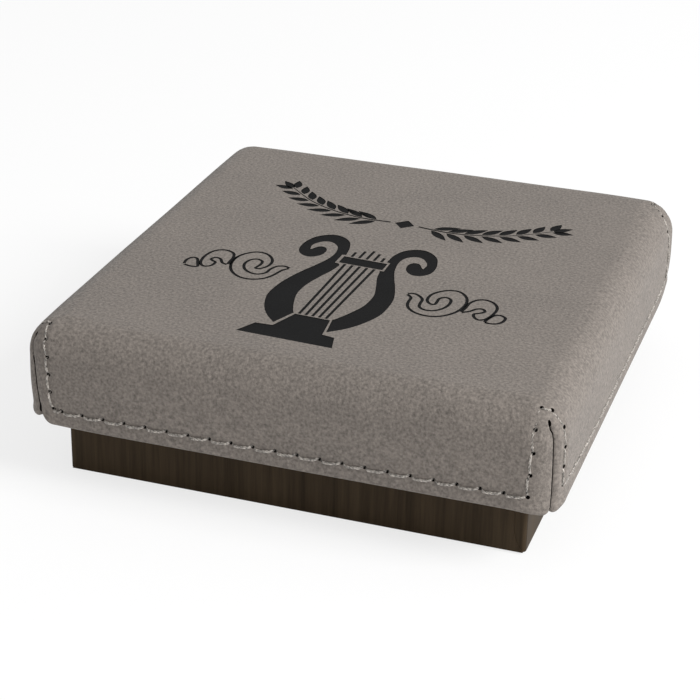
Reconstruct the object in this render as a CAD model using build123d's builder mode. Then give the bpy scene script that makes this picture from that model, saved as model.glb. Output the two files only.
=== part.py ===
from build123d import *
import os

# Medal box with a lift-off lid. A board lid under a sewn leatherette cover slides down
# over a board tray wrapped in dark paper, and its ceiling rests on the tray's rim.
# The tray holds a velour pad with a round recess for one medal.
# X runs along the front, Y to the back, Z up. The origin is the middle of the underside.
# All sizes are in millimetres.

# Outside of the lid
lid_width = 95.25
lid_depth = 102.0
lid_height = 18.5
lid_corner_radius = 6.2
lid_edge_radius = 6.0

# Layers of the lid, from the outside in
leather_thick = 1.0
padding_thick = 1.5
lid_board_thick = 2.2
lining_thick = 0.5
padding_bevel = 3.0
lid_board_corner = 2.1
lid_board_edge = 1.9
lid_tape_thick = 0.2
lid_tape_reach = 11.0
lining_corner = 0.6

# Leatherette cover: hem, corner seams and stitch lines
hem_edge_radius = 0.8
seam_gap = 0.4
seam_height = 15.3
seam_eye_radius = 0.7
flap_corner_radius = 2.4
stitch_hem_height = 3.0
stitch_corner_inset = 5.0
stitch_pitch = 3.9
stitch_length = 3.2
stitch_width = 0.55
stitch_slant = 7.0
stitch_depth = 0.35
stitch_groove_width = 1.2

# Tray: what shows below the closed lid, and its layers
base_show = 11.5
lid_play = 0.8
base_board_thick = 2.0
wrap_thick = 0.4
wrap_corner_radius = 0.9
wrap_turn_in = 12.0
wrap_foot_margin = 13.0
lap_thick = 0.15
lap_inset = 2.1
lap_flare_height = 4.4
lap_flare_end = 0.5
base_tape_thick = 0.15
base_tape_reach = 10.0
bottom_sheet_thick = 0.3
bottom_sheet_margin = 2.5

# Pad with the medal recess
pad_below_rim = 5.9
pad_play = 0.2
pad_corner_radius = 1.5
velour_thick = 0.5
recess_depth = 6.0
recess_radius = 32.0
notch_radius = 6.5
recess_card_thick = 1.0
card_play = 0.15

# Levels, from the floor up
lid_bottom = base_show
lid_top = lid_bottom + lid_height
padding_bottom = lid_bottom + leather_thick
padding_top = lid_top - leather_thick
lid_board_top = padding_top - padding_thick
lid_board_low = lid_board_top - lid_board_thick
ceiling = lid_board_low - lining_thick
rim = ceiling
wrap_low = bottom_sheet_thick
floor_low = wrap_low + wrap_thick
floor_top = floor_low + base_board_thick
base_board_top = rim - wrap_thick
pad_top = rim - pad_below_rim
card_top = pad_top - recess_depth
pad_low = card_top - recess_card_thick

# Plan sizes, from the outside in
padding_width = lid_width - 2 * leather_thick
padding_depth = lid_depth - 2 * leather_thick
lid_board_width = padding_width - 2 * padding_thick
lid_board_depth = padding_depth - 2 * padding_thick
lining_width = lid_board_width - 2 * lid_board_thick
lining_depth = lid_board_depth - 2 * lid_board_thick
lid_inner_width = lining_width - 2 * lining_thick
lid_inner_depth = lining_depth - 2 * lining_thick
tray_width = lid_inner_width - 2 * lid_play
tray_depth = lid_inner_depth - 2 * lid_play
wrap_depth = tray_depth - 2 * lap_thick
base_board_width = tray_width - 2 * wrap_thick
base_board_depth = wrap_depth - 2 * wrap_thick
base_board_corner = wrap_corner_radius - wrap_thick
tray_inner_width = base_board_width - 2 * base_board_thick
tray_inner_depth = base_board_depth - 2 * base_board_thick
mouth_width = tray_inner_width - 2 * wrap_thick
mouth_depth = tray_inner_depth - 2 * wrap_thick
pad_width = mouth_width - 2 * pad_play
pad_depth = mouth_depth - 2 * pad_play

# The four outer faces of the lid, each with the length of its side and x along it
lid_sides = [
    (Plane(origin=(0, -lid_depth / 2, 0), x_dir=(1, 0, 0), z_dir=(0, -1, 0)), lid_width),
    (Plane(origin=(lid_width / 2, 0, 0), x_dir=(0, 1, 0), z_dir=(1, 0, 0)), lid_depth),
    (Plane(origin=(0, lid_depth / 2, 0), x_dir=(-1, 0, 0), z_dir=(0, 1, 0)), lid_width),
    (Plane(origin=(-lid_width / 2, 0, 0), x_dir=(0, -1, 0), z_dir=(-1, 0, 0)), lid_depth),
]
corner_signs = [(-1, -1), (1, -1), (1, 1), (-1, 1)]

os.makedirs("parts", exist_ok=True)


def tape_corners(width, depth, corner, thick, reach, low, high):
    """Four strips of tape, each folded round one upright corner of a ring of boards."""
    with BuildPart() as tape:
        with BuildSketch(Plane.XY.offset(low)):
            RectangleRounded(width + 2 * thick, depth + 2 * thick, corner + thick)
            RectangleRounded(width, depth, corner, mode=Mode.SUBTRACT)
            Rectangle(width + 4 * thick, depth - 2 * reach, mode=Mode.SUBTRACT)
            Rectangle(width - 2 * reach, depth + 4 * thick, mode=Mode.SUBTRACT)
        extrude(amount=high - low)
    return tape.part


def wall_boards(prefix, width, depth, corner, thick, low, high):
    """Four upright boards: front and back run full width, the sides stand between them."""
    for side, sign in (("front", -1), ("back", 1)):
        with BuildPart() as board:
            with BuildSketch(Plane.XY.offset(low)):
                RectangleRounded(width, depth, corner)
                with Locations((0, -sign * thick)):
                    Rectangle(width, depth, mode=Mode.SUBTRACT)
            extrude(amount=high - low)
        board.part.label = f"{prefix}_{side}_board"
        export_step(board.part, f"parts/{board.part.label}.step")
    for side, sign in (("left", -1), ("right", 1)):
        with BuildPart() as board:
            with BuildSketch(Plane.XY.offset(low)):
                with Locations((sign * (width - thick) / 2, 0)):
                    Rectangle(thick, depth - 2 * thick)
            extrude(amount=high - low)
        board.part.label = f"{prefix}_{side}_board"
        export_step(board.part, f"parts/{board.part.label}.step")


def recess_outline(grow):
    """Outline of the medal recess with its thumb notch at the front, grown all round."""
    Circle(recess_radius + grow)
    with Locations((0, -recess_radius)):
        Circle(notch_radius + grow)


# Outer form of the lid's board shell: rounded upright corners and top edge
with BuildPart() as board_form:
    with BuildSketch(Plane.XY.offset(padding_bottom)):
        RectangleRounded(lid_board_width, lid_board_depth, lid_board_corner)
    extrude(amount=lid_board_top - padding_bottom)
    fillet(board_form.faces().sort_by(Axis.Z)[-1].edges(), radius=lid_board_edge)

# Board shell of the lid: a top board on four walls
with BuildPart() as lid_top_board:
    add(board_form.part)
    split(bisect_by=Plane.XY.offset(lid_board_low), keep=Keep.TOP)
lid_top_board.part.label = "lid_top_board"
export_step(lid_top_board.part, "parts/lid_top_board.step")

wall_boards("lid", lid_board_width, lid_board_depth, lid_board_corner, lid_board_thick,
            padding_bottom, lid_board_low)

# Gummed tape that holds the lid's board corners
lid_tape = tape_corners(lid_board_width, lid_board_depth, lid_board_corner, lid_tape_thick,
                        lid_tape_reach, padding_bottom, lid_board_low)
lid_tape.label = "lid_corner_tape"
export_step(lid_tape, "parts/lid_corner_tape.step")

# Thin padding over the boards, pressed flat at its edges and where the tape lies
with BuildPart() as padding_form:
    with BuildSketch(Plane.XY.offset(padding_bottom)):
        RectangleRounded(padding_width, padding_depth, lid_corner_radius - leather_thick)
    extrude(amount=padding_top - padding_bottom)
    chamfer(padding_form.faces().sort_by(Axis.Z)[-1].edges(), length=padding_bevel)
with BuildPart() as lid_padding:
    add(padding_form.part)
    add(board_form.part, mode=Mode.SUBTRACT)
    add(lid_tape, mode=Mode.SUBTRACT)
lid_padding.part.label = "lid_padding"
export_step(lid_padding.part, "parts/lid_padding.step")

# Leatherette cover: one sheet, folded down on four sides, butted at the corners and
# turned under the lower edge
with BuildPart() as leatherette:
    with BuildSketch(Plane.XY.offset(lid_bottom)):
        RectangleRounded(lid_width, lid_depth, lid_corner_radius)
    extrude(amount=lid_height)
    fillet(leatherette.faces().sort_by(Axis.Z)[-1].edges(), radius=lid_edge_radius)
    fillet(leatherette.faces().sort_by(Axis.Z)[0].edges(), radius=hem_edge_radius)
    add(padding_form.part, mode=Mode.SUBTRACT)
    with BuildSketch(Plane.XY.offset(lid_bottom)):
        Rectangle(lid_inner_width, lid_inner_depth)
    extrude(amount=leather_thick, mode=Mode.SUBTRACT)
    # Corner seams: a narrow slit up to a round eye, with rounded flap corners at the hem
    for sign_x, sign_y in corner_signs:
        corner_point = (sign_x * lid_width / 2, sign_y * lid_depth / 2, lid_bottom)
        seam_plane = Plane(origin=corner_point, x_dir=(-sign_y, sign_x, 0), z_dir=(sign_x, sign_y, 0))
        with BuildSketch(seam_plane):
            with BuildLine():
                slit_foot = (seam_gap / 2, flap_corner_radius)
                flap_foot = (seam_gap / 2 + flap_corner_radius, 0)
                Polyline((0, 0), flap_foot)
                RadiusArc(flap_foot, slit_foot, flap_corner_radius)
                Polyline(slit_foot, (seam_gap / 2, seam_height), (0, seam_height))
                mirror(about=Plane.YZ)
            make_face()
            with Locations((0, seam_height)):
                RegularPolygon(seam_eye_radius, 8)
        extrude(amount=2 * lid_corner_radius, both=True, mode=Mode.SUBTRACT)
    # Sunk lines in which the stitches lie: along each hem and up beside each seam
    for side_plane, side_length in lid_sides:
        hem_z = lid_bottom + stitch_hem_height
        line_length = side_length - 2 * stitch_corner_inset
        upright = lid_height - lid_edge_radius - stitch_hem_height
        with BuildSketch(side_plane):
            with Locations((0, hem_z)):
                Rectangle(line_length + stitch_groove_width, stitch_groove_width)
            with Locations((-line_length / 2, hem_z + upright / 2), (line_length / 2, hem_z + upright / 2)):
                Rectangle(stitch_groove_width, upright)
        extrude(amount=-stitch_depth, mode=Mode.SUBTRACT)
leatherette.part.label = "lid_leatherette"
export_step(leatherette.part, "parts/lid_leatherette.step")

# Hem stitches: slanted lengths of thread, flush with the leatherette
with BuildPart() as hem_stitches:
    for side_plane, side_length in lid_sides:
        line_length = side_length - 2 * stitch_corner_inset
        stitch_count = round(line_length / stitch_pitch)
        with BuildSketch(side_plane):
            with Locations((0, lid_bottom + stitch_hem_height)):
                with GridLocations(line_length / stitch_count, 1, stitch_count, 1):
                    Rectangle(stitch_length, stitch_width, rotation=-stitch_slant)
        extrude(amount=-stitch_depth)
hem_stitches.part.label = "hem_stitches"
export_step(hem_stitches.part, "parts/hem_stitches.step")

# Stitches up both edges of each corner seam, as far as the straight of the wall
with BuildPart() as corner_stitches:
    upright = lid_height - lid_edge_radius - stitch_hem_height
    stitch_count = int(upright / stitch_pitch)
    for side_plane, side_length in lid_sides:
        line_length = side_length - 2 * stitch_corner_inset
        first_centre = lid_bottom + stitch_hem_height + stitch_groove_width / 2 + stitch_length / 2
        with BuildSketch(side_plane):
            for step in range(stitch_count):
                level = first_centre + step * stitch_pitch
                with Locations((-line_length / 2, level), (line_length / 2, level)):
                    Rectangle(stitch_width, stitch_length, rotation=-stitch_slant)
        extrude(amount=-stitch_depth)
corner_stitches.part.label = "corner_stitches"
export_step(corner_stitches.part, "parts/corner_stitches.step")

# Paper lining of the lid: a sheet under the top board and a band round the walls
with BuildPart() as ceiling_lining:
    with BuildSketch(Plane.XY.offset(ceiling)):
        Rectangle(lining_width, lining_depth)
    extrude(amount=lining_thick)
ceiling_lining.part.label = "lid_ceiling_lining"
export_step(ceiling_lining.part, "parts/lid_ceiling_lining.step")

with BuildPart() as side_lining:
    with BuildSketch(Plane.XY.offset(padding_bottom)):
        Rectangle(lining_width, lining_depth)
        RectangleRounded(lid_inner_width, lid_inner_depth, lining_corner, mode=Mode.SUBTRACT)
    extrude(amount=ceiling - padding_bottom)
side_lining.part.label = "lid_side_lining"
export_step(side_lining.part, "parts/lid_side_lining.step")

# Tray: a floor board with four walls standing on it
with BuildPart() as base_floor_board:
    with BuildSketch(Plane.XY.offset(floor_low)):
        RectangleRounded(base_board_width, base_board_depth, base_board_corner)
    extrude(amount=base_board_thick)
base_floor_board.part.label = "base_floor_board"
export_step(base_floor_board.part, "parts/base_floor_board.step")

wall_boards("base", base_board_width, base_board_depth, base_board_corner, base_board_thick,
            floor_top, base_board_top)

base_tape = tape_corners(base_board_width, base_board_depth, base_board_corner, base_tape_thick,
                         base_tape_reach, floor_low, base_board_top)
base_tape.label = "base_corner_tape"
export_step(base_tape, "parts/base_corner_tape.step")

# Wrap of the tray: one paper sheet over the walls, the rim and the edge of the floor
with BuildPart() as base_wrap:
    with BuildSketch(Plane.XY.offset(wrap_low)):
        RectangleRounded(tray_width, wrap_depth, wrap_corner_radius)
    extrude(amount=rim - wrap_low)
    with BuildSketch(Plane.XY.offset(floor_low)):
        RectangleRounded(base_board_width, base_board_depth, base_board_corner)
    extrude(amount=base_board_top - floor_low, mode=Mode.SUBTRACT)
    add(base_tape, mode=Mode.SUBTRACT)
    # The sheet turns over the rim and down inside
    with BuildSketch(Plane.XY.offset(base_board_top - wrap_turn_in)):
        Rectangle(tray_inner_width, tray_inner_depth)
    extrude(amount=wrap_turn_in)
    with BuildSketch(Plane.XY.offset(base_board_top - wrap_turn_in)):
        Rectangle(mouth_width, mouth_depth)
    extrude(amount=rim - base_board_top + wrap_turn_in, mode=Mode.SUBTRACT)
    # The sheet turns under the floor and stops short of the middle
    with BuildSketch(Plane.XY.offset(wrap_low)):
        Rectangle(tray_width - 2 * wrap_foot_margin, tray_depth - 2 * wrap_foot_margin)
    extrude(amount=wrap_thick, mode=Mode.SUBTRACT)
    # Front and back flaps lap over the side tabs and flare out to the foot of each corner
    with BuildSketch(Plane.XZ.offset(wrap_depth / 2 - lap_thick)) as lap_profile:
        with BuildLine():
            lap_edge = tray_width / 2 - lap_inset
            flare_foot = (tray_width / 2 - wrap_corner_radius + lap_flare_end, wrap_low)
            flare_top = (lap_edge, wrap_low + lap_flare_height)
            Polyline((0, wrap_low), flare_foot)
            TangentArc(flare_top, flare_foot, tangent=(0, -1))
            Polyline(flare_top, (lap_edge, rim), (0, rim))
            mirror(about=Plane.YZ)
        make_face()
    extrude(amount=2 * lap_thick)
    mirror(about=Plane.XZ)
base_wrap.part.label = "base_wrap"
export_step(base_wrap.part, "parts/base_wrap.step")

# Bottom sheet that covers the turned-in edges and rests on the table
with BuildPart() as bottom_sheet:
    with BuildSketch():
        Rectangle(tray_width - 2 * bottom_sheet_margin, tray_depth - 2 * bottom_sheet_margin)
    extrude(amount=bottom_sheet_thick)
bottom_sheet.part.label = "base_bottom_sheet"
export_step(bottom_sheet.part, "parts/base_bottom_sheet.step")

# Foam riser that lifts the pad off the floor
with BuildPart() as insert_riser:
    with BuildSketch(Plane.XY.offset(floor_top)):
        RectangleRounded(pad_width, pad_depth, pad_corner_radius)
    extrude(amount=pad_low - floor_top)
insert_riser.part.label = "insert_riser"
export_step(insert_riser.part, "parts/insert_riser.step")

# Die-cut foam pad with the recess right through it
with BuildPart() as insert_foam:
    with BuildSketch(Plane.XY.offset(pad_low)):
        RectangleRounded(pad_width - 2 * velour_thick, pad_depth - 2 * velour_thick,
                         pad_corner_radius - velour_thick)
    extrude(amount=pad_top - velour_thick - pad_low)
    with BuildSketch(Plane.XY.offset(pad_low)):
        recess_outline(velour_thick)
    extrude(amount=pad_top - pad_low, mode=Mode.SUBTRACT)
insert_foam.part.label = "insert_foam"
export_step(insert_foam.part, "parts/insert_foam.step")

# Velour over the pad, down its sides and down the wall of the recess
with BuildPart() as insert_velour:
    with BuildSketch(Plane.XY.offset(pad_low)):
        RectangleRounded(pad_width, pad_depth, pad_corner_radius)
    extrude(amount=pad_top - pad_low)
    with BuildSketch(Plane.XY.offset(pad_low)):
        recess_outline(0)
    extrude(amount=pad_top - pad_low, mode=Mode.SUBTRACT)
    add(insert_foam.part, mode=Mode.SUBTRACT)
insert_velour.part.label = "insert_velour"
export_step(insert_velour.part, "parts/insert_velour.step")

# Velour-faced card on which the medal lies
with BuildPart() as recess_card:
    with BuildSketch(Plane.XY.offset(pad_low)):
        recess_outline(-card_play)
    extrude(amount=recess_card_thick)
recess_card.part.label = "recess_card"
export_step(recess_card.part, "parts/recess_card.step")
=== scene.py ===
import math

import bmesh
import bpy
import numpy as np
from mathutils import Matrix, Vector
from mathutils.bvhtree import BVHTree


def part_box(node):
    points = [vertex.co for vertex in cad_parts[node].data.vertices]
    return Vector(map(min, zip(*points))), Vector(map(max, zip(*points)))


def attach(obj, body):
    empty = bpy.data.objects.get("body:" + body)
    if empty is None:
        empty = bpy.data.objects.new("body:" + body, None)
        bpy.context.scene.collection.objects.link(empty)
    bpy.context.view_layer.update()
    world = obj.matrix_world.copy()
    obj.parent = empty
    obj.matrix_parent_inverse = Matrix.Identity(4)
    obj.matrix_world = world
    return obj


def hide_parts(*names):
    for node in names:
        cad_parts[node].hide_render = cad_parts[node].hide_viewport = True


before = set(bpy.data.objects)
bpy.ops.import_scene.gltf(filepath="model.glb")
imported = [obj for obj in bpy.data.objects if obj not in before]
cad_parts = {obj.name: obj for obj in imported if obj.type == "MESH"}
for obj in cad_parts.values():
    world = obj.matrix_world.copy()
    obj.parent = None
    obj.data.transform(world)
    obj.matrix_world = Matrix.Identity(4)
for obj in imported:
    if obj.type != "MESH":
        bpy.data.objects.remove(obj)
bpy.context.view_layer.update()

mm = 0.001

# Camera
# The camera stands where the photographer's did: in front and to the right, looking down.
# Its place was fitted to the outline of the lid and the tray.
PHOTO_PIXELS = 700
FOCAL_PIXELS = 1978.6
SENSOR = 36.0
azimuth = math.radians(18.167)
elevation = math.radians(25.842)
roll = math.radians(1.210)
# In widths of the lid: the height that the camera aims at, and its place from there
AIM_HEIGHT = 0.15
CAMERA_BACK = 3.9161
CAMERA_LEFT = 0.04547
CAMERA_DOWN = 0.03758
lid_low, lid_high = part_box("lid_leatherette")
lid_width = lid_high[0] - lid_low[0]
back = Vector((math.sin(azimuth) * math.cos(elevation),
               -math.cos(azimuth) * math.cos(elevation),
               math.sin(elevation)))
level_right = Vector((0, 0, 1)).cross(back).normalized()
level_up = back.cross(level_right)
camera_right = math.cos(roll) * level_right + math.sin(roll) * level_up
camera_up = math.cos(roll) * level_up - math.sin(roll) * level_right
aim = Vector((0, 0, AIM_HEIGHT * lid_width))
eye = aim + lid_width * (CAMERA_BACK * back - CAMERA_LEFT * camera_right - CAMERA_DOWN * camera_up)


def placed(name, data):
    """A new object in the scene, which holds the data."""
    made = bpy.data.objects.new(name, data)
    bpy.context.scene.collection.objects.link(made)
    return made


camera_data = bpy.data.cameras.new("camera")
camera_data.lens = FOCAL_PIXELS / PHOTO_PIXELS * SENSOR
camera_data.sensor_width = SENSOR
camera_data.clip_start = 10 * mm
camera = placed("camera", camera_data)
camera_turn = Matrix((camera_right, camera_up, back)).transposed().to_4x4()
camera.matrix_world = Matrix.Translation(eye) @ camera_turn
bpy.context.scene.camera = camera


# Shader groups
# Effects that several finishes share: soft clouds of tone, and a fine raised grain.
def new_group(name, inputs, outputs):
    """A shader node group with named float or colour sockets; inputs map names to default values."""
    group = bpy.data.node_groups.new(name, "ShaderNodeTree")
    for socket, default in inputs.items():
        kind = "NodeSocketColor" if isinstance(default, tuple) else "NodeSocketFloat"
        item = group.interface.new_socket(name=socket, in_out="INPUT", socket_type=kind)
        item.default_value = default
    for socket, kind in outputs.items():
        group.interface.new_socket(name=socket, in_out="OUTPUT", socket_type=kind)
    return group, group.nodes.new("NodeGroupInput"), group.nodes.new("NodeGroupOutput")


def feed(tree, socket, value):
    """Sets a socket to a number, or links another socket into it."""
    if isinstance(value, (int, float)):
        socket.default_value = value
    else:
        tree.links.new(value, socket)


def math_node(tree, operation, first, second):
    """A maths node; each operand is a socket or a number."""
    node = tree.nodes.new("ShaderNodeMath")
    node.operation = operation
    feed(tree, node.inputs[0], first)
    feed(tree, node.inputs[1], second)
    return node.outputs[0]


def noise_at(tree, scale, detail, stretch=(1.0, 1.0, 1.0), roughness=0.55):
    """Noise on Object coordinates, with its scale in features per metre."""
    place = tree.nodes.new("ShaderNodeTexCoord")
    mapping = tree.nodes.new("ShaderNodeMapping")
    mapping.inputs["Scale"].default_value = stretch
    noise = tree.nodes.new("ShaderNodeTexNoise")
    noise.inputs["Detail"].default_value = detail
    noise.inputs["Roughness"].default_value = roughness
    tree.links.new(place.outputs["Object"], mapping.inputs["Vector"])
    tree.links.new(mapping.outputs["Vector"], noise.inputs["Vector"])
    feed(tree, noise.inputs["Scale"], scale)
    return noise.outputs["Fac"]


def swing(tree, noise, amount):
    """How far a noise moves a value up or down; the amount is a socket or a number."""
    return math_node(tree, "MULTIPLY", math_node(tree, "SUBTRACT", noise, 0.5), amount)


cloud_group, cloud_in, cloud_out = new_group(
    "cloudy_tone",
    {"Colour": (0.5, 0.5, 0.5, 1.0), "Cloud scale": 70.0, "Cloud": 0.2, "Speck scale": 2500.0, "Speck": 0.1},
    {"Colour": "NodeSocketColor", "Cloud": "NodeSocketFloat"})
clouds = noise_at(cloud_group, cloud_in.outputs["Cloud scale"], 5.0)
specks = noise_at(cloud_group, cloud_in.outputs["Speck scale"], 3.0)
cloud_part = swing(cloud_group, clouds, cloud_in.outputs["Cloud"])
speck_part = swing(cloud_group, specks, cloud_in.outputs["Speck"])
tone = math_node(cloud_group, "ADD", math_node(cloud_group, "ADD", cloud_part, speck_part), 1.0)
toned = cloud_group.nodes.new("ShaderNodeVectorMath")
toned.operation = "SCALE"
cloud_group.links.new(cloud_in.outputs["Colour"], toned.inputs[0])
cloud_group.links.new(tone, toned.inputs["Scale"])
cloud_group.links.new(toned.outputs["Vector"], cloud_out.inputs["Colour"])
cloud_group.links.new(clouds, cloud_out.inputs["Cloud"])

grain_group, grain_in, grain_out = new_group(
    "raised_grain",
    {"Grain scale": 2000.0, "Fine scale": 6000.0, "Fine share": 0.4},
    {"Height": "NodeSocketFloat"})
coarse = noise_at(grain_group, grain_in.outputs["Grain scale"], 4.0)
fine = noise_at(grain_group, grain_in.outputs["Fine scale"], 2.0)
fine_part = math_node(grain_group, "MULTIPLY", fine, grain_in.outputs["Fine share"])
grain_height = math_node(grain_group, "ADD", coarse, fine_part)
grain_group.links.new(grain_height, grain_out.inputs["Height"])


def new_material(name):
    """A material, its node tree and its Principled shader."""
    material = bpy.data.materials.new(name)
    material.use_nodes = True
    tree = material.node_tree
    return material, tree, tree.nodes["Principled BSDF"]


def use_group(tree, group, values):
    """A shader group in a material, with a value for each of its sockets in their order."""
    node = tree.nodes.new("ShaderNodeGroup")
    node.node_tree = group
    for socket, value in zip(node.inputs, values):
        socket.default_value = value
    return node


def raise_relief(tree, height, distance):
    """Bumps a material's surface by a height of 0 to 1 times the distance."""
    relief = tree.nodes.new("ShaderNodeBump")
    relief.inputs["Distance"].default_value = distance
    tree.links.new(height, relief.inputs["Height"])
    tree.links.new(relief.outputs["Normal"], tree.nodes["Principled BSDF"].inputs["Normal"])


def finish_material(name, colour, clouds, grain, roughness, bump, specular=0.5, sheen=0.0, rough_swing=0.0):
    """A cloudy, grained finish. clouds are a scale and strength, then those of the specks; grain is the
    coarse scale, the fine scale and the fine share."""
    material, tree, shader = new_material(name)
    shader.inputs["Roughness"].default_value = roughness
    shader.inputs["Specular IOR Level"].default_value = specular
    shader.inputs["Sheen Weight"].default_value = sheen
    shader.inputs["Sheen Roughness"].default_value = 0.45
    tones = use_group(tree, cloud_group, ((*colour, 1.0), *clouds))
    tree.links.new(tones.outputs["Colour"], shader.inputs["Base Color"])
    raise_relief(tree, use_group(tree, grain_group, grain).outputs["Height"], bump)
    if rough_swing:
        swung = swing(tree, tones.outputs["Cloud"], rough_swing)
        tree.links.new(math_node(tree, "ADD", swung, roughness), shader.inputs["Roughness"])
    return material


# Sewing lines
# Where the machine sewed: along each hem, up the front or back edge of each corner seam, over
# the corner above the seam's eye, and down the side edge. Each corner was sewn a bit askew.
lid_hem = lid_low[2]
lid_top = lid_high[2]
edge_radius = 6.0 * mm
core_x = lid_high[0] - edge_radius
core_y = lid_high[1] - edge_radius
wall_height = lid_top - lid_hem - edge_radius
STITCH_PITCH = 3.87 * mm


def on_cover(sign_x, sign_y, turn, rise):
    """A place on the cover and the way it faces there. turn is in degrees from the front or back face, round
    the corner and on along the side; rise is in millimetres above the hem."""
    lean = math.asin(min(max(rise * mm - wall_height, 0.0) / edge_radius, 1.0))
    round_turn = math.radians(min(max(turn, 0.0), 90.0))
    past = math.radians(turn) - round_turn
    out_x, out_y = math.sin(round_turn), math.cos(round_turn)
    reach = edge_radius * math.cos(lean)
    x = core_x + reach * out_x + (past * edge_radius if past < 0 else 0.0)
    y = core_y + reach * out_y - (past * edge_radius if past > 0 else 0.0)
    place = Vector((sign_x * x, sign_y * y, lid_hem + rise * mm))
    return place, Vector((sign_x * out_x * math.cos(lean), sign_y * out_y * math.cos(lean), math.sin(lean)))


# For each corner: the line up its front or back edge, the stitches in it, the line over the
# corner, the line down the side, and the stitches in that, as turns and rises
corner_sewing = {
    (1, -1): ([(9.9, 3.0), (11.4, 7.0), (13.8, 11.0), (15, 15.0), (20, 16.6), (27, 17.4), (34, 17.75)], 4,
              [(34, 17.75), (48, 17.75), (62, 17.15)],
              [(62, 17.15), (69, 16.3), (72.8, 15.0), (73, 13), (73.5, 10.5), (72, 8), (71, 6),
               (73, 4.0)], 4),
    (-1, -1): ([(-2, 3.4), (2.3, 6.6), (3.6, 10.0), (5.7, 14.1), (14, 15.8), (27.6, 17.2), (40, 17.9)], 5,
               [(40, 17.9), (58, 17.8), (76, 17.3)],
               [(76, 17.3), (90, 16.4), (98, 15), (98, 12), (97, 8), (97, 4)], 4),
    (1, 1): ([(34, 3.0), (34, 7), (34, 11), (37, 15), (46, 17.2), (55, 18.0)], 4,
             [(55, 18.0), (68, 18.4), (81, 18.25)],
             [(81, 18.25), (93, 17.7), (106, 16.8), (121, 14.7), (114, 10.8), (111, 7), (111, 3.2)], 5),
    (-1, 1): ([(9, 3.0), (9, 7), (10, 11), (13, 15), (20, 16.6), (34, 17.75)], 4,
              [(34, 17.75), (48, 17.75), (62, 17.15)],
              [(62, 17.15), (68, 16.3), (71, 15), (70, 12), (70, 8), (70, 3.2)], 4)}
stitch_paths = []
for (sign_x, sign_y), (up, up_count, over, down, down_count) in corner_sewing.items():
    for line, count in ((up[::-1], up_count), (over, 1), (down, down_count)):
        stitch_paths.append(([on_cover(sign_x, sign_y, *spot) for spot in line], count))
corner_lines = len(stitch_paths)
# Where the front hem's and the back hem's lines start on the left, and how the side hems run
HEM_STARTS = {-1: (-17, 3.1), 1: (9, 3.1)}
SIDE_HEM = ((110, 3.9), (300, 2.8))
for sign in (-1, 1):
    corner_end = on_cover(-1, sign, *corner_sewing[-1, sign][0][0])
    start = on_cover(-1, sign, *HEM_STARTS[sign])
    if sign < 0:
        stitch_paths.append(([corner_end, start], 1))
    far = on_cover(1, sign, *corner_sewing[1, sign][0][0])
    stitch_paths.append(([start, far], round((far[0] - start[0]).length / STITCH_PITCH)))
    near = on_cover(sign, -1, *corner_sewing[sign, -1][3][-1])
    far = on_cover(sign, 1, *corner_sewing[sign, 1][3][-1])
    line = [near, *(on_cover(sign, -1, *spot) for spot in SIDE_HEM), far]
    stitch_paths.append((line, round((far[0] - near[0]).length / STITCH_PITCH)))


def spread(path, count):
    """count + 1 places evenly along a path of (place, facing) pairs: the needle holes."""
    steps = [0.0]
    for (one, _), (two, _) in zip(path, path[1:]):
        steps.append(steps[-1] + (two - one).length)
    holes = []
    for index in range(count + 1):
        want = steps[-1] * index / count
        part = min(max(i for i in range(len(steps)) if steps[i] <= want + 1e-9), len(path) - 2)
        share = (want - steps[part]) / (steps[part + 1] - steps[part])
        place = path[part][0].lerp(path[part + 1][0], share)
        holes.append((place, path[part][1].lerp(path[part + 1][1], share).normalized()))
    return holes


needle_lines = [spread(path, count) for path, count in stitch_paths]

# Leatherette cover
# One grey leatherette sheet with a suede-like face, laid over thin padding, butted at the
# four corners and turned under the hem. It is the soft skin that the whole lid shows.
leather_grey = finish_material("grey_leatherette", (0.182, 0.159, 0.140), (85.0, 0.32, 2000.0, 1.75),
                               (1350.0, 5200.0, 0.5), 0.74, 0.16 * mm,
                               specular=0.3, sheen=0.1, rough_swing=0.25)
# The near-black cut edge is painted shade for the inside of the slits, seam eyes and needle holes.
leather_cut_painted_shade = finish_material("leatherette_cut_edge_painted_shade", (0.010, 0.008, 0.007), (300.0, 0.3, 3000.0, 0.3),
                              (1500.0, 5200.0, 0.5), 0.9, 0.05 * mm, specular=0.1)
leather_burnt = finish_material("leatherette_burnt", (0.0085, 0.0085, 0.0087), (160.0, 0.4, 3500.0, 0.6),
                                (2500.0, 7000.0, 0.7), 0.8, 0.05 * mm, specular=0.12)
leather = 1.0 * mm
hem_return = lid_high[0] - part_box("lid_side_lining")[1][0] + 0.5 * mm
fold_radius = 0.5 * mm
EYE_RISE = 15.7
SEAM_STEPS = (0.0, 0.07, 0.16, 0.28, 0.42, 0.6, 0.82, 1.1, 1.45, 1.85, 2.25, 2.65, 3.1, 3.5, 3.9, 4.3)
# Corners in turn from the front right: each seam's lean in degrees by its rise, the radius of
# the flap corners at the hem, how far the hem is drawn in, how far each flap hangs down there
# (on the seam's earlier side, then its later side), and half the width of the slit
seam_leans = (((0, 2.0), (2.7, 4.0), (8.4, 2.5), (12.3, 1.5), (14.2, 0.4), (14.9, -3.3), (15.7, -2.3)),
              ((0, -22.0), (15.7, -22.0)),
              ((0, 1.0), (15.7, -1.0)),
              ((0, 21.5), (2.7, 19.0), (8.0, 14.0), (12.0, 9.5), (13.2, 5.0), (14.2, 0.0), (14.9, -4.0),
               (15.7, -5.0)))
flap_radii = (1.1 * mm, 4.2 * mm, 1.8 * mm, 2.4 * mm)
hem_pulls = (0.0, 0.45 * mm, 0.15 * mm, 0.45 * mm)
flap_drops = ((0.65 * mm, 0.5 * mm), (0.0, 0.0), (0.0, 0.0), (-0.7 * mm, 0.0))
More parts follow.
